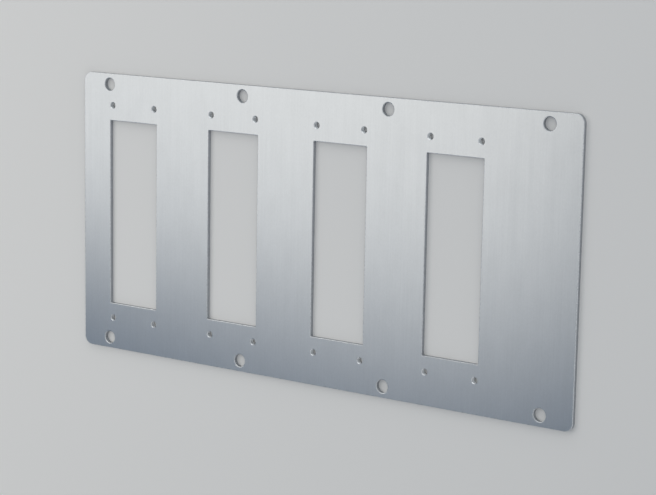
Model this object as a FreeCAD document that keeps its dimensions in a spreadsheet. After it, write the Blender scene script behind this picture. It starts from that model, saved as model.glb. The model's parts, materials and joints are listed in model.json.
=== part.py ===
import FreeCAD, Part

import math
import os

import Sketcher

# Connector mounting plate: one flat sheet of steel that closes an opening in a cabinet wall.
# Four long cutouts in a row each take the housing of a 24-pole heavy-duty connector, held by a
# tapped hole beyond each of its corners. Two rows of plain holes along the long edges fix the
# plate itself.
# The plate lies on its back. X runs along it, Y across it and Z out of its front face, and the
# origin is the middle of the back face. All sizes are millimetres.

# Driving sizes: name, value, meaning. The plate is as long and as wide as its cutouts and the
# strips of sheet around them: 340 by 168 with these values.
SIZES = (
    ("sheet_thickness", 2.5, "thickness of the steel sheet"),
    ("plate_corner_radius", 5.0, "outer corners of the plate"),
    ("cutout_count", 4, "connector cutouts in the row"),
    ("cutout_pitch", 75.0, "from one cutout to the next"),
    ("cutout_width", 36.0, "opening for the housing, along the plate"),
    ("cutout_height", 112.0, "opening for the housing, across the plate"),
    ("cutout_corner_radius", 0.5, "left by the punch in the inner corners"),
    ("left_end_strip", 20.5, "sheet between the left end and the first cutout"),
    ("right_end_strip", 58.5, "blank sheet between the last cutout and the right end"),
    ("long_edge_strip", 28.0, "sheet between the cutouts and each long edge"),
    ("screw_row_gap", 9.0, "from a cutout's short side out to the housing's screws"),
    ("screw_inset", 2.0, "from a cutout's long side in to the line of the screws"),
    ("screw_core_diameter", 3.3, "core of the M4 thread"),
    ("screw_mouth_diameter", 4.1, "countersunk mouth of the M4 thread"),
    ("fixing_count", 4, "fixing holes in each of the two rows"),
    ("fixing_end_margin", 20.0, "from an end of the plate to the nearest fixing holes"),
    ("fixing_edge_margin", 6.5, "from a long edge to its row of fixing holes"),
    ("fixing_diameter", 7.5, "clearance for the fixing screws"),
    ("outline_edge_radius", 0.3, "outer edge of the front face, rounded over by the press tool"),
    ("opening_edge_chamfer", 0.2, "edges of the openings in the front face, freed of burr"),
    ("back_edge_chamfer", 0.15, "all edges of the back face, freed of burr"),
)

CUTOUT_SPAN = "(Sizes.cutout_count - 1) * Sizes.cutout_pitch"
PLATE_LENGTH = (
    f"(Sizes.left_end_strip + {CUTOUT_SPAN} + Sizes.cutout_width + Sizes.right_end_strip)"
)
PLATE_WIDTH = "(Sizes.cutout_height + 2 * Sizes.long_edge_strip)"
# Distances from the plate's middle.
FIRST_CUTOUT_SIDE = f"({PLATE_LENGTH} / 2 - Sizes.left_end_strip)"
SCREW_ROW = "(Sizes.cutout_height / 2 + Sizes.screw_row_gap)"
FIXING_ROW = f"({PLATE_WIDTH} / 2 - Sizes.fixing_edge_margin)"
FIRST_FIXING_COLUMN = f"({PLATE_LENGTH} / 2 - Sizes.fixing_end_margin)"
FIXING_SPAN = f"({PLATE_LENGTH} - 2 * Sizes.fixing_end_margin)"

# Numbers by which a sketch constraint names the sketch's own origin and axes, and the ends and
# middle of a curve.
AXES = -1
ORIGIN = 1
START, END, MIDDLE = range(1, 4)

RIGHT_ANGLE = math.radians(90)
FLAT_TOLERANCE = 1e-6


def fill_sheet(doc):
    """Spreadsheet with one driving size to a row, each cell named by its alias."""
    sheet = doc.addObject("Spreadsheet::Sheet", "Sizes")
    for row, (alias, value, meaning) in enumerate(SIZES, start=1):
        sheet.set(f"A{row}", alias)
        sheet.set(f"B{row}", str(value))
        sheet.set(f"C{row}", meaning)
        sheet.setAlias(f"B{row}", alias)
    doc.recompute()
    return sheet


def origin_feature(body, role):
    """One of the body's own origin planes or axes."""
    return next(feature for feature in body.Origin.OriginFeatures if feature.Role == role)


def new_sketch(body, name, on_front=False):
    """Sketch on the back face's plane, or raised from it to the front face's."""
    sketch = body.newObject("Sketcher::SketchObject", name)
    sketch.AttachmentSupport = (origin_feature(body, "XY_Plane"), "")
    sketch.MapMode = "FlatFace"
    if on_front:
        sketch.setExpression("AttachmentOffset.Base.z", "Sizes.sheet_thickness")
    return sketch


def bind(sketch, kind, *places, to):
    """Dimension between the places named, bound to an expression in the sheet's sizes."""
    start_value = float(sketch.evalExpression(to))
    index = sketch.addConstraint(Sketcher.Constraint(kind, *places, start_value))
    sketch.setExpression(f"Constraints[{index}]", to)


def rounded_rectangle(sketch, left, width, height, radius):
    """Rectangle with round corners, its left side so far left of the origin and its height
    centred on the X axis."""
    low_x = -float(sketch.evalExpression(left))
    high_x = low_x + float(sketch.evalExpression(width))
    high_y = float(sketch.evalExpression(height)) / 2
    low_y = -high_y
    rounding = float(sketch.evalExpression(radius))
    up = FreeCAD.Vector(0, 0, 1)
    # Corners anticlockwise from the lower right one, with the way in which each side starts.
    corners = ((high_x, low_y), (high_x, high_y), (low_x, high_y), (low_x, low_y))
    inward = ((-1, 1), (-1, -1), (1, -1), (1, 1))
    centres = [
        FreeCAD.Vector(x + toward_x * rounding, y + toward_y * rounding, 0)
        for (x, y), (toward_x, toward_y) in zip(corners, inward)
    ]
    arcs = []
    for turn, centre in enumerate(centres):
        circle = Part.Circle(centre, up, rounding)
        start_angle = (turn - 1) * RIGHT_ANGLE
        arcs.append(Part.ArcOfCircle(circle, start_angle, start_angle + RIGHT_ANGLE))
    # Side n runs from the end of corner n to the start of the next: right, top, left, bottom.
    sides = [
        Part.LineSegment(arc.EndPoint, following.StartPoint)
        for arc, following in zip(arcs, arcs[1:] + arcs[:1])
    ]
    corner = [sketch.addGeometry(arc) for arc in arcs]
    side = [sketch.addGeometry(line) for line in sides]
    right, top, left_side, bottom = side
    for here in range(4):
        following = (here + 1) % 4
        sketch.addConstraint(Sketcher.Constraint("Tangent", corner[here], END, side[here], START))
        sketch.addConstraint(Sketcher.Constraint("Tangent", side[here], END, corner[following], START))
    for line in (right, left_side):
        sketch.addConstraint(Sketcher.Constraint("Vertical", line))
    for line in (top, bottom):
        sketch.addConstraint(Sketcher.Constraint("Horizontal", line))
    # The symmetry already makes the two right-hand corners alike.
    sketch.addConstraint(Sketcher.Constraint("Symmetric", corner[0], MIDDLE, corner[1], MIDDLE, AXES))
    for arc in corner[2:]:
        sketch.addConstraint(Sketcher.Constraint("Equal", corner[0], arc))
    bind(sketch, "Radius", corner[0], to=radius)
    bind(sketch, "DistanceX", left_side, END, right, START, to=width)
    bind(sketch, "DistanceY", bottom, START, top, START, to=height)
    bind(sketch, "DistanceX", left_side, END, AXES, ORIGIN, to=left)


def hole_pair(sketch, to_left, row, diameter):
    """Two circles, one above the other at equal distances from the X axis, so far left of the
    origin."""
    centre_x = -float(sketch.evalExpression(to_left))
    centre_y = float(sketch.evalExpression(row))
    radius = float(sketch.evalExpression(diameter)) / 2
    up = FreeCAD.Vector(0, 0, 1)
    lower, upper = [
        sketch.addGeometry(Part.Circle(FreeCAD.Vector(centre_x, y, 0), up, radius))
        for y in (-centre_y, centre_y)
    ]
    sketch.addConstraint(Sketcher.Constraint("Symmetric", lower, MIDDLE, upper, MIDDLE, AXES))
    sketch.addConstraint(Sketcher.Constraint("Equal", lower, upper))
    bind(sketch, "Diameter", lower, to=diameter)
    bind(sketch, "DistanceX", lower, MIDDLE, AXES, ORIGIN, to=to_left)
    bind(sketch, "DistanceY", AXES, ORIGIN, upper, MIDDLE, to=row)


def blank_sheet(body):
    """The flat blank with its round outer corners."""
    sketch = new_sketch(body, "blank_outline")
    rounded_rectangle(
        sketch,
        left=f"{PLATE_LENGTH} / 2",
        width=PLATE_LENGTH,
        height=PLATE_WIDTH,
        radius="Sizes.plate_corner_radius",
    )
    pad = body.newObject("PartDesign::Pad", "blank")
    pad.Profile = sketch
    pad.setExpression("Length", "Sizes.sheet_thickness")
    body.Document.recompute()


def row_of(body, feature, name, span, count):
    """Repeats a feature along the plate, the copies spread evenly over the span."""
    pattern = body.newObject("PartDesign::LinearPattern", name)
    pattern.Originals = [feature]
    pattern.Direction = (origin_feature(body, "X_Axis"), [""])
    pattern.Mode = "Extent"
    pattern.setExpression("Length", span)
    pattern.setExpression("Occurrences", count)
    body.Tip = pattern
    body.Document.recompute()


def through_holes(body, name, sketch, diameter):
    """Round holes through the sheet at the sketch's circles."""
    hole = body.newObject("PartDesign::Hole", name)
    hole.Profile = sketch
    body.Document.recompute()
    hole.DepthType = "ThroughAll"
    hole.setExpression("Diameter", diameter)
    body.Document.recompute()
    return hole


def connector_cutouts(body):
    """The openings for the connector housings."""
    sketch = new_sketch(body, "cutout_outline", on_front=True)
    rounded_rectangle(
        sketch,
        left=FIRST_CUTOUT_SIDE,
        width="Sizes.cutout_width",
        height="Sizes.cutout_height",
        radius="Sizes.cutout_corner_radius",
    )
    pocket = body.newObject("PartDesign::Pocket", "cutout")
    pocket.Profile = sketch
    pocket.Type = "ThroughAll"
    body.Document.recompute()
    row_of(body, pocket, "cutout_row", CUTOUT_SPAN, "Sizes.cutout_count")


def fixing_holes(body):
    """The plain holes along both long edges, for the screws that hold the plate."""
    sketch = new_sketch(body, "fixing_centres", on_front=True)
    hole_pair(sketch, FIRST_FIXING_COLUMN, FIXING_ROW, "Sizes.fixing_diameter")
    hole = through_holes(body, "fixing_hole", sketch, "Sizes.fixing_diameter")
    row_of(body, hole, "fixing_row", FIXING_SPAN, "Sizes.fixing_count")


def face_edges(shape, height, outline, openings):
    """Names of the edges of the flat face at a height: those of its outline, its openings or
    both."""
    face = next(
        face
        for face in shape.Faces
        if max(abs(face.BoundBox.ZMin - height), abs(face.BoundBox.ZMax - height)) < FLAT_TOLERANCE
    )
    wanted = []
    for wire in face.Wires:
        is_outline = wire.isSame(face.OuterWire)
        if (is_outline and outline) or (openings and not is_outline):
            wanted += wire.Edges
    return [
        f"Edge{number}"
        for number, edge in enumerate(shape.Edges, start=1)
        if any(edge.isSame(other) for other in wanted)
    ]


def break_edges(body, kind, name, edges, size_property, size):
    """Rounds or chamfers the edges named, of the body as it is so far."""
    before = body.Tip
    feature = body.newObject(kind, name)
    feature.Base = (before, edges)
    feature.setExpression(size_property, size)
    body.Document.recompute()


def broken_edges(body, sizes):
    """The punched edges: round along the front outline, with a narrow chamfer everywhere else."""
    front = sizes.sheet_thickness
    back = 0.0
    outline = face_edges(body.Tip.Shape, front, outline=True, openings=False)
    break_edges(
        body, "PartDesign::Fillet", "outline_rounding", outline, "Radius", "Sizes.outline_edge_radius"
    )
    openings = face_edges(body.Tip.Shape, front, outline=False, openings=True)
    break_edges(
        body, "PartDesign::Chamfer", "front_deburring", openings, "Size", "Sizes.opening_edge_chamfer"
    )
    all_round = face_edges(body.Tip.Shape, back, outline=True, openings=True)
    break_edges(
        body, "PartDesign::Chamfer", "back_deburring", all_round, "Size", "Sizes.back_edge_chamfer"
    )


def housing_screw_holes(body):
    """The tapped holes, four to a cutout, drilled to the thread's core and countersunk on the
    front once the sheet is punched."""
    sketch = new_sketch(body, "screw_centres", on_front=True)
    outer_line = f"({FIRST_CUTOUT_SIDE} - Sizes.screw_inset)"
    inner_line = f"({FIRST_CUTOUT_SIDE} - Sizes.cutout_width + Sizes.screw_inset)"
    for line in (outer_line, inner_line):
        hole_pair(sketch, line, SCREW_ROW, "Sizes.screw_core_diameter")
    hole = through_holes(body, "screw_hole", sketch, "Sizes.screw_core_diameter")
    hole.HoleCutType = "Countersink"
    hole.HoleCutCustomValues = True
    hole.HoleCutCountersinkAngle = 90
    hole.setExpression("HoleCutDiameter", "Sizes.screw_mouth_diameter")
    body.Document.recompute()
    row_of(body, hole, "screw_rows", CUTOUT_SPAN, "Sizes.cutout_count")


def check_features(doc):
    """Stops if any object of the document failed, or a body has no valid solid."""
    for feature in doc.Objects:
        failed = {"Invalid", "Error"} & set(feature.State)
        if failed:
            raise RuntimeError(f"{feature.Name} did not compute: {feature.State}")
    for body in doc.findObjects("PartDesign::Body"):
        shape = body.Shape
        if shape.isNull() or not shape.isValid() or len(shape.Solids) != 1:
            raise RuntimeError(f"{body.Label} is not one valid solid")


def main():
    doc = FreeCAD.newDocument("connector_mounting_plate")
    sizes = fill_sheet(doc)
    body = doc.addObject("PartDesign::Body", "mounting_plate")
    body.Label = "mounting_plate"
    blank_sheet(body)
    connector_cutouts(body)
    fixing_holes(body)
    broken_edges(body, sizes)
    housing_screw_holes(body)
    doc.recompute()
    check_features(doc)
    os.makedirs("parts", exist_ok=True)
    for piece in doc.findObjects("PartDesign::Body"):
        piece.Shape.exportStep(os.path.join("parts", f"{piece.Label}.step"))


main()
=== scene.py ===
import json
import math

import bmesh
import bpy
from bpy.props import FloatProperty, FloatVectorProperty, PointerProperty
from mathutils import Matrix, Quaternion, Vector


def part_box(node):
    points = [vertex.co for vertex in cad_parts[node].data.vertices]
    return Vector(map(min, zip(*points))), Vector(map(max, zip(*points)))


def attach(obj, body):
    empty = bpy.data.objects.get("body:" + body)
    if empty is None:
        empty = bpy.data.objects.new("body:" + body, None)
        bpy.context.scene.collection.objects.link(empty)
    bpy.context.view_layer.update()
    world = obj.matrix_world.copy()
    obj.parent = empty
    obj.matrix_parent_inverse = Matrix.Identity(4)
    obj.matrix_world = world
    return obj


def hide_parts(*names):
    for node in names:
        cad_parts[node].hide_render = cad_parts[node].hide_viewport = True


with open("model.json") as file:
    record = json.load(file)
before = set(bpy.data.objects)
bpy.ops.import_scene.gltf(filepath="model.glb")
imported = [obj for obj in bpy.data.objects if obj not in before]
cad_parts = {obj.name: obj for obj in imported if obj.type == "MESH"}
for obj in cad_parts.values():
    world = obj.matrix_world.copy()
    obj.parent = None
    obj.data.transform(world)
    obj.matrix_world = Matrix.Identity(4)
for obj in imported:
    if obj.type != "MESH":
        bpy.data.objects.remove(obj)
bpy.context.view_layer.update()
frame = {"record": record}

bl_info = {
    "name": "Connector mounting plate",
    "version": (1, 0, 0),
    "blender": (4, 5, 0),
    "location": "View3D > Sidebar > Mounting plate",
    "description": "Punches, taps and finishes a steel plate for connector housings",
    "category": "Object",
}

# The frame: the plate as constructed, its mounts and the box that it must stay in.
CAD_NODE = "mounting_plate"
PLATE_LOW, PLATE_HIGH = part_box(CAD_NODE)
BACK, FRONT = PLATE_LOW.z, PLATE_HIGH.z
MOUNTS = {mount["name"]: mount for mount in frame["record"]["mounts"]}
CONNECTORS = [MOUNTS[name] for name in sorted(MOUNTS) if name.startswith("connector_")]
FIXINGS = [MOUNTS[name] for name in sorted(MOUNTS) if name.startswith("fixing_")]

# Lengths are in metres. NEAR is the least that tells two places apart, with its decimals.
MM = 0.001
NEAR = 1e-6
NEAR_DECIMALS = 6

# How finely the curves are divided.
CORNER_SEGMENTS = 14
CUTOUT_CORNER_SEGMENTS = 5
FIXING_SIDES = 72
SCREW_SIDES = 48
THREAD_STEPS = 24

# How far a punch or a sink's cutter stands out of the sheet.
PUNCH_OVERLAP = 2 * MM
SINK_OVERLAP = 0.5 * MM

# Radii of the bores, as the mounts give them.
SCREW_RADIUS = CONNECTORS[0]["dims"]["hole_r_mm"] * MM
FIXING_RADIUS = FIXINGS[0]["dims"]["hole_r_mm"] * MM

# The lines across the blank miss the holes' middles by this much, so that none meets a corner.
LINE_SHIFT = 0.1 * MM

# The tap's tooth: how far inside the core its foot starts, and half the widths of its foot and
# its crest as shares of the pitch.
TOOTH_ROOT = 0.1 * MM
FOOT_SHARE = 0.45
CREST_SHARE = 0.07

# How far in from the plate's sides its outline's edges may lie, and how far out from a hole's
# radius its own points may.
OUTLINE_REACH = 2 * MM
HOLE_SLACK = 0.02 * MM

# A face's normal stands up by more than this where it is flat, where it looks up out of a screw
# hole, and where it is a broken edge.
FLAT_NORMAL = 0.999
RAISED_NORMAL = 0.6
BROKEN_NORMAL = 0.15

# It stands up by no more than this on a wall, and a rim is an edge with a wall on one side.
WALL_NORMAL = 0.5

# A corner whose two edges meet at more than this angle lies on a straight edge.
STRAIGHT_ANGLE = math.radians(179.9)

# Faces with more sides than this are divided into triangles.
QUAD_SIDES = 4

# Walls that meet at less than this angle are shaded as one curve.
SMOOTH_ANGLE = math.radians(35)

# The noises of the finishes: cells to the metre along the plate, across it and through it, then
# detail and roughness.
NOISES = {
    "streaks": ((900, 12, 60), 4, 0.6),
    "cloud": ((90, 60, 90), 4, 0.5),
    "mottle": ((1100, 700, 700), 3, 0.6),
    "hairlines": ((7000, 70, 500), 3, 0.6),
    "grain": ((1800, 25, 25), 3, 0.5),
    "nicks": ((700, 700, 700), 3, 0.5),
    "shear lines": ((2200, 2200, 260), 4, 0.65),
    "tap rings": ((300, 300, 5000), 2, 0.5),
}

# The span that most of a noise lies in.
NOISE_LOW, NOISE_HIGH = 0.3, 0.7

# The satin faces: what each noise adds to their tone, the darkest and brightest tones, how far the
# roughness swings about its mean, and the depth of the grain.
STREAKS_SHARE = 0.2
CLOUD_SHARE = 0.22
MOTTLE_SHARE = 0.28
HAIRLINES_SHARE = 0.3
FACE_TONES = (0.93, 1.07)
ROUGHNESS_SWING = 0.015
GRAIN_DEPTH = 0.008 * MM

# The two colours and the result among the sockets of a colour mix.
MIX_FIRST, MIX_SECOND, MIX_RESULT = 6, 7, 2

# The floor's side, and the gap between it and the plate.
FLOOR_SIZE = 24
FLOOR_GAP = 0.1 * MM

# Where the flag's rim colour stands, from 0 in the open light to 1 at the flag's middle.
RIM_PLACE = 0.5

# The camera's sensor in millimetres, as wide as full-frame film, and the nearest and farthest
# that it sees.
SENSOR_WIDTH = 36
CLIP_NEAR = 0.05
CLIP_FAR = 60


class PlateSizes(bpy.types.PropertyGroup):
    """Sizes of the punched sheet that its mounts don't give"""

    corner_radius: FloatProperty(
        name="Corner radius",
        description="Round outer corners of the plate",
        default=5 * MM,
        unit="LENGTH",
    )
    cutout_width: FloatProperty(
        name="Cutout width",
        description="Opening for a connector housing, along the plate",
        default=36 * MM,
        unit="LENGTH",
    )
    cutout_height: FloatProperty(
        name="Cutout height",
        description="Opening for a connector housing, across the plate",
        default=112 * MM,
        unit="LENGTH",
    )
    cutout_corner_radius: FloatProperty(
        name="Cutout corner radius",
        description="Left by the punch in the cutouts' inner corners",
        default=0.5 * MM,
        unit="LENGTH",
    )
    outline_edge: FloatProperty(
        name="Outline rounding",
        description="Radius of the front edge all round the plate",
        default=0.3 * MM,
        unit="LENGTH",
    )
    cutout_edge: FloatProperty(
        name="Cutout edge",
        description="Width of the broken front edge of each cutout",
        default=0.2 * MM,
        unit="LENGTH",
    )
    fixing_edge: FloatProperty(
        name="Fixing hole edge",
        description="Width of the broken front edge of each fixing hole",
        default=0.35 * MM,
        unit="LENGTH",
    )
    back_edge: FloatProperty(
        name="Back edge",
        description="Width of the broken edges of the back face",
        default=0.15 * MM,
        unit="LENGTH",
    )
    screw_mouth: FloatProperty(
        name="Screw hole mouth",
        description="Radius of the sink in front of each tapped hole",
        default=2.05 * MM,
        unit="LENGTH",
    )
    thread_radius: FloatProperty(
        name="Thread radius",
        description="Outer radius of the tapped thread, as for an M4 screw",
        default=2 * MM,
        unit="LENGTH",
    )
    thread_pitch: FloatProperty(
        name="Thread pitch",
        description="Rise of the thread in one turn",
        default=0.7 * MM,
        unit="LENGTH",
    )


class SteelFinish(bpy.types.PropertyGroup):
    """Colours and roughness of the steel"""

    face_colour: FloatVectorProperty(
        name="Face colour",
        description="Satin steel of the front and back faces",
        subtype="COLOR",
        size=3,
        min=0,
        max=1,
        default=(0.62, 0.635, 0.645),
    )
    # Darker and bluer than the faces: partly the cut steel's own tone, partly painted shade.
    cut_colour_and_shade: FloatVectorProperty(
        name="Cut colour",
        description="Bare steel of the punched walls",
        subtype="COLOR",
        size=3,
        min=0,
        max=1,
        default=(0.44, 0.46, 0.49),
    )
    face_roughness: FloatProperty(
        name="Face roughness",
        description="Mean roughness of the satin faces",
        subtype="FACTOR",
        min=0,
        max=1,
        default=0.3,
    )


class StudioSetup(bpy.types.PropertyGroup):
    """Where the camera stands, and the floor, lamps and world"""

    aim: FloatVectorProperty(
        name="Aim",
        description="Point of the front face in the middle of the picture",
        subtype="TRANSLATION",
        size=3,
        default=(0.01168, -0.00327, 0.0025),
    )
    azimuth: FloatProperty(
        name="Azimuth",
        description="Way round to the camera from the plate's blank end",
        subtype="ANGLE",
        default=math.radians(17.08),
    )
    elevation: FloatProperty(
        name="Elevation",
        description="Angle of the camera above the plate's plane",
        subtype="ANGLE",
        default=math.radians(53.90),
    )
    distance: FloatProperty(
        name="Distance",
        description="From the aim to the camera",
        unit="LENGTH",
        default=1.1415,
    )
    roll: FloatProperty(
        name="Roll",
        description="Turn of the camera about its line of sight",
        subtype="ANGLE",
        default=math.radians(1.01),
    )
    focal_length: FloatProperty(
        name="Focal length",
        description="Lens in millimetres on the full-frame sensor",
        default=111.5,
    )
    floor_colour: FloatVectorProperty(
        name="Floor colour",
        description="Plain pale floor and background",
        subtype="COLOR",
        size=3,
        min=0,
        max=1,
        default=(0.95, 0.935, 0.915),
    )
    world_colour: FloatVectorProperty(
        name="World colour",
        description="Light that comes from all round",
        subtype="COLOR",
        size=3,
        min=0,
        max=1,
        default=(0.505, 0.53, 0.55),
    )
    flag_rim_colour: FloatVectorProperty(
        name="Flag rim colour",
        description="Light that comes past the rim of the flag",
        subtype="COLOR",
        size=3,
        min=0,
        max=1,
        default=(0.227, 0.231, 0.238),
    )
    flag_colour: FloatVectorProperty(
        name="Flag colour",
        description="Light that comes through the middle of the flag",
        subtype="COLOR",
        size=3,
        min=0,
        max=1,
        default=(0.01, 0.072, 0.163),
    )
    flag_direction: FloatVectorProperty(
        name="Flag direction",
        description="From the plate towards the middle of the flag",
        subtype="DIRECTION",
        size=3,
        default=(-0.67, -0.335, 0.66),
    )
    flag_reach: FloatProperty(
        name="Flag reach",
        description="Angle from the flag's middle at which the surroundings are bright again",
        subtype="ANGLE",
        default=math.radians(52),
    )


# Modelling by hand

def only(obj):
    """Leaves nothing selected but this object, and makes it the active one."""
    if bpy.context.object and bpy.context.object.mode != "OBJECT":
        bpy.ops.object.mode_set(mode="OBJECT")
    bpy.ops.object.select_all(action="DESELECT")
    obj.select_set(True)
    bpy.context.view_layer.objects.active = obj


def added(name):
    """The primitive just added, under its own name and with its place taken into its mesh."""
    obj = bpy.context.object
    obj.name = name
    obj.data.name = name
    only(obj)
    bpy.ops.object.transform_apply(location=True, rotation=True, scale=True)
    return obj


def block(name, centre, size):
    """Rectangular block of this size."""
    bpy.ops.mesh.primitive_cube_add(size=1, location=centre, scale=size)
    return added(name)


def rod(name, centre, radius, depth, sides):
    """Upright round rod."""
    bpy.ops.mesh.primitive_cylinder_add(vertices=sides, radius=radius, depth=depth, location=centre)
    return added(name)


def select(obj, kind, wanted):
    """Goes into edit mode with only the wanted corners, edges or faces selected."""
    only(obj)
    bpy.ops.object.mode_set(mode="EDIT")
    bpy.ops.mesh.select_mode(type=kind)
    bpy.ops.mesh.select_all(action="DESELECT")
    mesh = bmesh.from_edit_mesh(obj.data)
    parts = {"VERT": mesh.verts, "EDGE": mesh.edges, "FACE": mesh.faces}
    for part in parts[kind]:
        part.select_set(wanted(part))
    bmesh.update_edit_mesh(obj.data)


def bevel_edges(obj, wanted, width, segments):
    """Bevels the wanted edges, in this many steps."""
    select(obj, "EDGE", wanted)
    bpy.ops.mesh.bevel(
        offset_type="OFFSET",
        offset=width,
        segments=segments,
        profile=0.5,
        affect="EDGES",
    )
    bpy.ops.object.mode_set(mode="OBJECT")


def is_upright(edge):
    """Whether an edge runs straight through the sheet."""
    start, end = (vert.co for vert in edge.verts)
    return abs(start.z - end.z) > NEAR and (start.xy - end.xy).length < NEAR


def countersink(sizes):
    """Cone that widens a screw hole's mouth at 90 degrees, a little proud of the front face."""
    tip = FRONT - sizes.screw_mouth
    bpy.ops.mesh.primitive_cone_add(
        vertices=SCREW_SIDES,
        radius1=0,
        radius2=sizes.screw_mouth + SINK_OVERLAP,
        depth=sizes.screw_mouth + SINK_OVERLAP,
        location=(0, 0, (tip + FRONT + SINK_OVERLAP) / 2),
    )
    return added("countersink")


def thread_ridge(sizes):
    """The ridge of a tap as a closed coil: a 60 degree tooth screwed up through the sheet, from
    one pitch below its back to above its front."""
    pitch = sizes.thread_pitch
    root = SCREW_RADIUS - TOOTH_ROOT
    foot = pitch * FOOT_SHARE
    crest = pitch * CREST_SHARE
    turns = math.ceil((FRONT - BACK) / pitch) + 2
    start = BACK - pitch
    bpy.ops.mesh.primitive_plane_add(size=1, location=(0, 0, 0))
    ridge = added("thread_ridge")
    tooth = (
        (root, start - foot),
        (root, start + foot),
        (sizes.thread_radius, start - crest),
        (sizes.thread_radius, start + crest),
    )
    for vert, (radius, height) in zip(ridge.data.vertices, tooth):
        vert.co = Vector((radius, 0, height))
    screw = ridge.modifiers.new("coil", "SCREW")
    screw.axis = "Z"
    screw.angle = math.tau
    screw.screw_offset = pitch
    screw.iterations = turns
    screw.steps = THREAD_STEPS
    screw.render_steps = THREAD_STEPS
    bpy.ops.object.modifier_apply(modifier=screw.name)
    bpy.ops.object.mode_set(mode="EDIT")
    bpy.ops.mesh.select_all(action="SELECT")
    bpy.ops.mesh.fill_holes(sides=len(tooth))
    bpy.ops.mesh.select_all(action="SELECT")
    bpy.ops.mesh.normals_make_consistent(inside=False)
    bpy.ops.object.mode_set(mode="OBJECT")
    return ridge


def copies(obj, centres, name):
    """The object once for each centre, each copy with its own mesh moved from the origin."""
    made = []
    for number, centre in enumerate(centres, start=1):
        copy = obj.copy()
        copy.data = obj.data.copy()
        copy.name = f"{name}_{number}"
        bpy.context.collection.objects.link(copy)
        copy.location = centre
        made.append(copy)
    bpy.data.objects.remove(obj)
    return made


def joined(objects, name):
    """Several objects as one, with their places taken into its mesh."""
    only(objects[0])
    for obj in objects:
        obj.select_set(True)
    bpy.ops.object.join()
    whole = bpy.context.object
    whole.name = name
    only(whole)
    bpy.ops.object.transform_apply(location=True, rotation=True, scale=True)
    return whole


def pattern_centres(mount):
    """Hole centres of a rectangular bolt pattern, in the plate's plane."""
    middle = Vector(mount["pos_m"])
    half_x = mount["dims"]["spacing_x_mm"] * MM / 2
    half_y = mount["dims"]["spacing_y_mm"] * MM / 2
    return [
        Vector((middle.x + side * half_x, middle.y + end * half_y, 0))
        for side in (-1, 1)
        for end in (-1, 1)
    ]


def cutout_centres():
    """Middles of the openings for the connectors."""
    return [Vector((mount["pos_m"][0], mount["pos_m"][1], 0)) for mount in CONNECTORS]


def fixing_centres():
    """Middles of the plain holes along the long edges."""
    return [centre for mount in FIXINGS for centre in pattern_centres(mount)]


def screw_centres():
    """Middles of the tapped holes round the cutouts."""
    return [centre for mount in CONNECTORS for centre in pattern_centres(mount)]


# The press and the tap

def blank(sizes):
    """The sheet before it is punched: a block with round corners. Lines drawn across it through
    the holes to come divide its faces, so that none will have an opening inside it."""
    size = PLATE_HIGH - PLATE_LOW
    sheet = block("punched_plate", (PLATE_LOW + PLATE_HIGH) / 2, size)
    bevel_edges(sheet, is_upright, sizes.corner_radius, CORNER_SEGMENTS)
    columns = {
        round(centre.x + LINE_SHIFT, NEAR_DECIMALS) for centre in fixing_centres() + screw_centres()
    }
    bpy.ops.object.mode_set(mode="EDIT")
    for column in sorted(columns):
        bpy.ops.mesh.select_all(action="SELECT")
        bpy.ops.mesh.bisect(plane_co=(column, 0, 0), plane_no=(1, 0, 0))
    bpy.ops.object.mode_set(mode="OBJECT")
    return sheet


def punches(sizes):
    """All that the press takes out of the sheet, as one cutter."""
    middle = Vector((0, 0, (FRONT + BACK) / 2))
    reach = FRONT - BACK + 2 * PUNCH_OVERLAP
    window = block("window", middle, (sizes.cutout_width, sizes.cutout_height, reach))
    bevel_edges(window, is_upright, sizes.cutout_corner_radius, CUTOUT_CORNER_SEGMENTS)
    fixing = rod("fixing", middle, FIXING_RADIUS, reach, FIXING_SIDES)
    screw = rod("screw", middle, SCREW_RADIUS, reach, SCREW_SIDES)
    tools = (
        copies(window, cutout_centres(), "window")
        + copies(fixing, fixing_centres(), "fixing")
        + copies(screw, screw_centres(), "screw")
    )
    return joined(tools, "punches")


def cut(sheet, cutter):
    """Takes the cutter out of the sheet, and removes it."""
    only(sheet)
    boolean = sheet.modifiers.new("punch", "BOOLEAN")
    boolean.operation = "DIFFERENCE"
    boolean.solver = "MANIFOLD"
    boolean.object = cutter
    bpy.ops.object.modifier_apply(modifier=boolean.name)
    bpy.data.objects.remove(cutter)


def nearest(point, centres):
    """How far a point is from the nearest of these hole centres, in the plate's plane."""
    return min((point.xy - centre.xy).length for centre in centres)


def in_screw_hole(point, sizes):
    """Whether a point lies in one of the tapped holes or its sink."""
    return nearest(point, screw_centres()) < sizes.screw_mouth + HOLE_SLACK


def in_fixing_hole(point):
    """Whether a point lies on or inside the bore of a fixing hole."""
    return nearest(point, fixing_centres()) < FIXING_RADIUS + HOLE_SLACK


def rim_test(height, part, sizes):
    """A test for the rims of the flat face at this height that belong to this part: the outline,
    the cutouts, the fixing holes or the screw holes."""
    half = (PLATE_HIGH - PLATE_LOW) / 2

    def wanted(edge):
        if any(abs(vert.co.z - height) > NEAR for vert in edge.verts):
            return False
        if all(abs(face.normal.z) > WALL_NORMAL for face in edge.link_faces):
            return False
        middle = (edge.verts[0].co + edge.verts[1].co) / 2
        inset = min(half.x - abs(middle.x), half.y - abs(middle.y))
        if inset < OUTLINE_REACH:
            return part == "outline"
        if in_screw_hole(middle, sizes):
            return part == "screw holes"
        return part == ("fixing holes" if in_fixing_hole(middle) else "cutouts")

    return wanted


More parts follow.
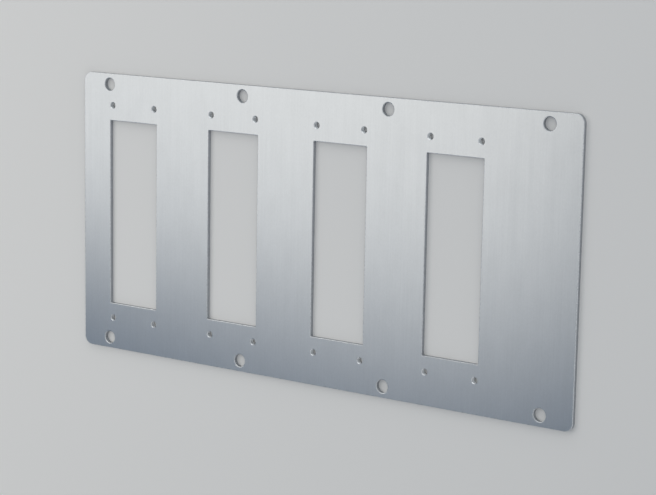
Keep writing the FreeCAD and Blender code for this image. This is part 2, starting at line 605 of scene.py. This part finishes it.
def break_edges(sheet, sizes):
    """Breaks the rims of both faces; a screw hole's front gets its sink instead."""
    # Height of the face, part that its rims belong to, width of the break and steps across it.
    edges = (
        (FRONT, "outline", sizes.outline_edge, 4),
        (FRONT, "cutouts", sizes.cutout_edge, 2),
        (FRONT, "fixing holes", sizes.fixing_edge, 3),
        (BACK, "outline", sizes.back_edge, 1),
        (BACK, "cutouts", sizes.back_edge, 1),
        (BACK, "fixing holes", sizes.back_edge, 1),
        (BACK, "screw holes", sizes.back_edge, 1),
    )
    for height, part, width, segments in edges:
        bevel_edges(sheet, rim_test(height, part, sizes), width, segments)


def tap(sheet, sizes):
    """Sinks and taps the screw holes, then dissolves any face without size that is left."""
    cut(sheet, joined(copies(countersink(sizes), screw_centres(), "sink"), "sinks"))
    cut(sheet, joined(copies(thread_ridge(sizes), screw_centres(), "ridge"), "ridges"))
    only(sheet)
    bpy.ops.object.mode_set(mode="EDIT")
    bpy.ops.mesh.select_all(action="SELECT")
    bpy.ops.mesh.dissolve_degenerate(threshold=NEAR)
    bpy.ops.object.mode_set(mode="OBJECT")


def is_spare(vert):
    """Whether a corner does no more than divide a straight edge."""
    if len(vert.link_edges) != 2:
        return False
    first, second = (edge.other_vert(vert).co - vert.co for edge in vert.link_edges)
    return first.angle(second, 0) > STRAIGHT_ANGLE


def clear_needles(sheet):
    """Dissolves spare corners and divides faces of many sides into well-shaped triangles, because
    both would leave needles where the sheet is made into triangles later."""
    select(sheet, "VERT", is_spare)
    bpy.ops.mesh.dissolve_verts()
    select(sheet, "FACE", lambda face: len(face.verts) > QUAD_SIDES)
    bpy.ops.mesh.quads_convert_to_tris(ngon_method="BEAUTY")
    bpy.ops.object.mode_set(mode="OBJECT")


def shade(sheet):
    """Curved walls smooth, and the two faces flat."""
    only(sheet)
    bpy.ops.object.shade_smooth_by_angle(angle=SMOOTH_ANGLE)
    select(sheet, "FACE", lambda face: abs(face.normal.z) > FLAT_NORMAL)
    bpy.ops.mesh.faces_shade_flat()
    bpy.ops.object.mode_set(mode="OBJECT")


# The finishes

def new_material(name, metallic=0.0):
    """Material with a single shader, matt or metallic, and that shader."""
    material = bpy.data.materials.new(name)
    material.use_nodes = True
    nodes = material.node_tree.nodes
    nodes.clear()
    output = nodes.new("ShaderNodeOutputMaterial")
    shader = nodes.new("ShaderNodeBsdfPrincipled")
    shader.inputs["Metallic"].default_value = metallic
    material.node_tree.links.new(shader.outputs["BSDF"], output.inputs["Surface"])
    return material, shader


def stretched_noise(tree, name):
    """One of the noises, over the plate's own coordinates."""
    cells, detail, roughness = NOISES[name]
    coordinates = tree.nodes.new("ShaderNodeTexCoord")
    mapping = tree.nodes.new("ShaderNodeMapping")
    mapping.inputs["Scale"].default_value = cells
    noise = tree.nodes.new("ShaderNodeTexNoise")
    noise.inputs["Scale"].default_value = 1.0
    noise.inputs["Detail"].default_value = detail
    noise.inputs["Roughness"].default_value = roughness
    tree.links.new(coordinates.outputs["Object"], mapping.inputs["Vector"])
    tree.links.new(mapping.outputs["Vector"], noise.inputs["Vector"])
    return noise.outputs["Fac"]


def ranged(tree, value, low, high):
    """A noise's middle span mapped onto low to high."""
    node = tree.nodes.new("ShaderNodeMapRange")
    node.inputs["From Min"].default_value = NOISE_LOW
    node.inputs["From Max"].default_value = NOISE_HIGH
    node.inputs["To Min"].default_value = low
    node.inputs["To Max"].default_value = high
    tree.links.new(value, node.inputs["Value"])
    return node.outputs["Result"]


def blend_colours(tree, factor, first, second):
    """From the first colour to the second as the factor goes from 0 to 1."""
    node = tree.nodes.new("ShaderNodeMix")
    node.data_type = "RGBA"
    node.inputs[MIX_FIRST].default_value = (*first, 1)
    node.inputs[MIX_SECOND].default_value = (*second, 1)
    tree.links.new(factor, node.inputs[0])
    return node.outputs[MIX_RESULT]


def shaded(colour, level):
    """A colour made so many times as bright."""
    return tuple(channel * level for channel in colour)


def bump_from(tree, shader, height, depth):
    """Raises the surface by up to this depth where the height value is 1."""
    bump = tree.nodes.new("ShaderNodeBump")
    bump.inputs["Strength"].default_value = 1.0
    bump.inputs["Distance"].default_value = depth
    tree.links.new(height, bump.inputs["Height"])
    tree.links.new(bump.outputs["Normal"], shader.inputs["Normal"])


def summed(tree, first, second):
    """Two values added."""
    node = tree.nodes.new("ShaderNodeMath")
    node.operation = "ADD"
    tree.links.new(first, node.inputs[0])
    tree.links.new(second, node.inputs[1])
    return node.outputs[0]


def satin_steel(finish):
    """Sheet steel with a grain and hairlines that run across the plate, and a faint mottle."""
    material, shader = new_material("satin_steel", metallic=1.0)
    tree = material.node_tree
    streaks = stretched_noise(tree, "streaks")
    cloud = stretched_noise(tree, "cloud")
    mottle = stretched_noise(tree, "mottle")
    hairlines = stretched_noise(tree, "hairlines")
    broad = summed(
        tree,
        ranged(tree, streaks, 0, STREAKS_SHARE),
        ranged(tree, cloud, 0, CLOUD_SHARE),
    )
    fine = summed(
        tree,
        ranged(tree, mottle, 0, MOTTLE_SHARE),
        ranged(tree, hairlines, 0, HAIRLINES_SHARE),
    )
    dull, bright = (shaded(finish.face_colour, tone) for tone in FACE_TONES)
    colour = blend_colours(tree, summed(tree, broad, fine), dull, bright)
    tree.links.new(colour, shader.inputs["Base Color"])
    rough = finish.face_roughness + ROUGHNESS_SWING
    smooth = finish.face_roughness - ROUGHNESS_SWING
    tree.links.new(ranged(tree, streaks, rough, smooth), shader.inputs["Roughness"])
    bump_from(tree, shader, stretched_noise(tree, "grain"), GRAIN_DEPTH)
    return material


def worked_steel(name, noise, colour, tones, roughness, depth):
    """Bare steel whose tone and roughness go from their first value to their second as the noise
    rises, and whose surface rises with it by up to this depth."""
    material, shader = new_material(name, metallic=1.0)
    tree = material.node_tree
    relief = stretched_noise(tree, noise)
    first, second = (shaded(colour, tone) for tone in tones)
    mixed = blend_colours(tree, ranged(tree, relief, 0, 1), first, second)
    tree.links.new(mixed, shader.inputs["Base Color"])
    tree.links.new(ranged(tree, relief, *roughness), shader.inputs["Roughness"])
    bump_from(tree, shader, relief, depth)
    return material


def worn_and_highlit_edge_steel(finish):
    """Broken edges, sinks and the upper flanks of threads, a little nicked, and made brighter than
    the faces: partly wear, partly a painted highlight."""
    return worked_steel(
        "worn_and_highlit_edge_steel",
        noise="nicks",
        colour=finish.face_colour,
        # These tones lift the edges above the faces as a painted highlight.
        tones=(1.15, 1.45),
        roughness=(0.34, 0.22),
        depth=0.005 * MM,
    )


def punched_steel(finish):
    """Walls that the punch sheared, with fine lines through the sheet's thickness."""
    return worked_steel(
        "punched_steel",
        noise="shear lines",
        colour=finish.cut_colour_and_shade,
        tones=(0.75, 1.25),
        roughness=(0.4, 0.7),
        depth=0.05 * MM,
    )


def tapped_steel(finish):
    """The rest of the threads, freshly cut, with the fine rings that a tap leaves."""
    return worked_steel(
        "tapped_steel",
        noise="tap rings",
        colour=finish.cut_colour_and_shade,
        tones=(0.85, 1.3),
        roughness=(0.25, 0.4),
        depth=0.01 * MM,
    )


# The zones of the plate, and what makes the finish of each
FACE, EDGE, WALL, THREAD = range(4)
FINISHES = (satin_steel, worn_and_highlit_edge_steel, punched_steel, tapped_steel)


def looks_up(face):
    """Whether a face of a screw hole looks up beyond its core, as its sink does and the upper
    flanks of its thread."""
    return face.normal.z > RAISED_NORMAL and nearest(face.center, screw_centres()) > SCREW_RADIUS


def zone_of(face, sizes):
    """The zone that a face of the plate belongs to."""
    if min(abs(face.center.z - FRONT), abs(face.center.z - BACK)) < NEAR:
        return FACE
    # Faces that look up out of a screw hole, and broken edges, take the bright edge finish: partly
    # wear, partly a painted highlight.
    if in_screw_hole(face.center, sizes):
        return EDGE if looks_up(face) else THREAD
    return EDGE if abs(face.normal.z) > BROKEN_NORMAL else WALL


def dress(sheet, sizes, finish):
    """Each zone of the plate in its finish."""
    sheet.data.materials.clear()
    for make in FINISHES:
        sheet.data.materials.append(make(finish))
    for face in sheet.data.polygons:
        face.material_index = zone_of(face, sizes)


class PLATE_OT_punched_plate(bpy.types.Operator):
    """Punch the sheet and give it its finish, in place of the plain plate"""

    bl_idname = "mounting_plate.punched_plate"
    bl_label = "Punched plate"

    def execute(self, context):
        sizes = context.scene.plate_sizes
        sheet = blank(sizes)
        cut(sheet, punches(sizes))
        break_edges(sheet, sizes)
        tap(sheet, sizes)
        clear_needles(sheet)
        shade(sheet)
        dress(sheet, sizes, context.scene.steel_finish)
        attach(sheet, "root")
        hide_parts(CAD_NODE)
        return {"FINISHED"}


# The studio

def pale_floor(studio):
    """Plain floor just under the plate."""
    bpy.ops.object.select_all(action="DESELECT")
    bpy.ops.mesh.primitive_plane_add(size=FLOOR_SIZE, location=(0, 0, BACK - FLOOR_GAP))
    floor = added("floor")
    material, shader = new_material("pale_floor")
    shader.inputs["Base Color"].default_value = (*studio.floor_colour, 1)
    shader.inputs["Roughness"].default_value = 0.8
    shader.inputs["Specular IOR Level"].default_value = 0.2
    floor.data.materials.append(material)


def softbox(name, place, target, size, radiance, colour=(1, 1, 1)):
    """Area lamp that faces the target and shows this radiance all over."""
    width, height = size
    data = bpy.data.lights.new(name, "AREA")
    data.shape = "RECTANGLE"
    data.size = width
    data.size_y = height
    data.energy = radiance * math.pi * width * height
    data.color = colour
    lamp = bpy.data.objects.new(name, data)
    bpy.context.scene.collection.objects.link(lamp)
    lamp.location = place
    lamp.rotation_euler = (Vector(place) - Vector(target)).to_track_quat("Z", "Y").to_euler()


def world_light(studio):
    """Even light from all round, but for a flag that dims it to a deep blue at its middle."""
    world = bpy.data.worlds.new("studio_world")
    world.use_nodes = True
    tree = world.node_tree
    coordinates = tree.nodes.new("ShaderNodeTexCoord")
    nearness = tree.nodes.new("ShaderNodeVectorMath")
    nearness.operation = "DOT_PRODUCT"
    nearness.inputs[1].default_value = Vector(studio.flag_direction).normalized()
    fade = tree.nodes.new("ShaderNodeMapRange")
    fade.interpolation_type = "SMOOTHSTEP"
    fade.inputs["From Min"].default_value = math.cos(studio.flag_reach)
    tree.links.new(coordinates.outputs["Generated"], nearness.inputs[0])
    tree.links.new(nearness.outputs["Value"], fade.inputs["Value"])
    colours = tree.nodes.new("ShaderNodeValToRGB")
    open_side, flagged = colours.color_ramp.elements
    open_side.color = (*studio.world_colour, 1)
    flagged.color = (*studio.flag_colour, 1)
    colours.color_ramp.elements.new(RIM_PLACE).color = (*studio.flag_rim_colour, 1)
    tree.links.new(fade.outputs["Result"], colours.inputs["Fac"])
    tree.links.new(colours.outputs["Color"], tree.nodes["Background"].inputs["Color"])
    bpy.context.scene.world = world


def camera(studio):
    """The photograph's point of view: past the blank end, looking down on the plate."""
    level = Vector((math.cos(studio.azimuth), math.sin(studio.azimuth), 0))
    back = level * math.cos(studio.elevation) + Vector((0, 0, math.sin(studio.elevation)))
    right = Vector((0, 1, 0)).cross(back).normalized()
    turn = Matrix((right, back.cross(right), back)).transposed()
    turn = Quaternion(back, studio.roll).to_matrix() @ turn
    data = bpy.data.cameras.new("photo_camera")
    data.sensor_width = SENSOR_WIDTH
    data.lens = studio.focal_length
    eye = bpy.data.objects.new("photo_camera", data)
    bpy.context.scene.collection.objects.link(eye)
    place = Vector(studio.aim) + back * studio.distance
    eye.matrix_world = Matrix.Translation(place) @ turn.to_4x4()
    data.clip_start = CLIP_NEAR
    data.clip_end = CLIP_FAR
    bpy.context.scene.camera = eye


class PLATE_OT_studio(bpy.types.Operator):
    """Set up the floor, the lamps, the world and the camera"""

    bl_idname = "mounting_plate.studio"
    bl_label = "Studio"

    def execute(self, context):
        studio = context.scene.studio_setup
        pale_floor(studio)
        world_light(studio)
        softbox(
            "key_softbox",
            place=(-0.68, 0.09, 0.89),
            target=(-0.23, -0.06, 0.13),
            size=(0.73, 0.92),
            radiance=1.22,
            colour=(1, 0.957, 0.882),
        )
        softbox(
            "edge_softbox",
            place=(0.1, 1.2, 0.5),
            target=(0, 0, 0),
            size=(1.6, 0.8),
            radiance=0.5,
        )
        camera(studio)
        context.scene.view_settings.view_transform = "Standard"
        return {"FINISHED"}


class PLATE_PT_panel(bpy.types.Panel):
    """The plate's steps, in order"""

    bl_label = "Mounting plate"
    bl_idname = "PLATE_PT_panel"
    bl_space_type = "VIEW_3D"
    bl_region_type = "UI"
    bl_category = "Mounting plate"

    def draw(self, context):
        for operator in OPERATORS:
            self.layout.operator(operator.bl_idname)
        for group_name, _ in GROUPS:
            group = getattr(context.scene, group_name)
            box = self.layout.box()
            for name in group.__annotations__:
                box.prop(group, name)


OPERATORS = (PLATE_OT_punched_plate, PLATE_OT_studio)
GROUPS = (
    ("plate_sizes", PlateSizes),
    ("steel_finish", SteelFinish),
    ("studio_setup", StudioSetup),
)


def register():
    for name, group in GROUPS:
        bpy.utils.register_class(group)
        setattr(bpy.types.Scene, name, PointerProperty(type=group))
    for operator in OPERATORS:
        bpy.utils.register_class(operator)
    bpy.utils.register_class(PLATE_PT_panel)


def unregister():
    bpy.utils.unregister_class(PLATE_PT_panel)
    for operator in reversed(OPERATORS):
        bpy.utils.unregister_class(operator)
    for name, group in reversed(GROUPS):
        delattr(bpy.types.Scene, name)
        bpy.utils.unregister_class(group)


def main():
    register()
    bpy.ops.mounting_plate.punched_plate()
    bpy.ops.mounting_plate.studio()


if __name__ == "__main__":
    main()
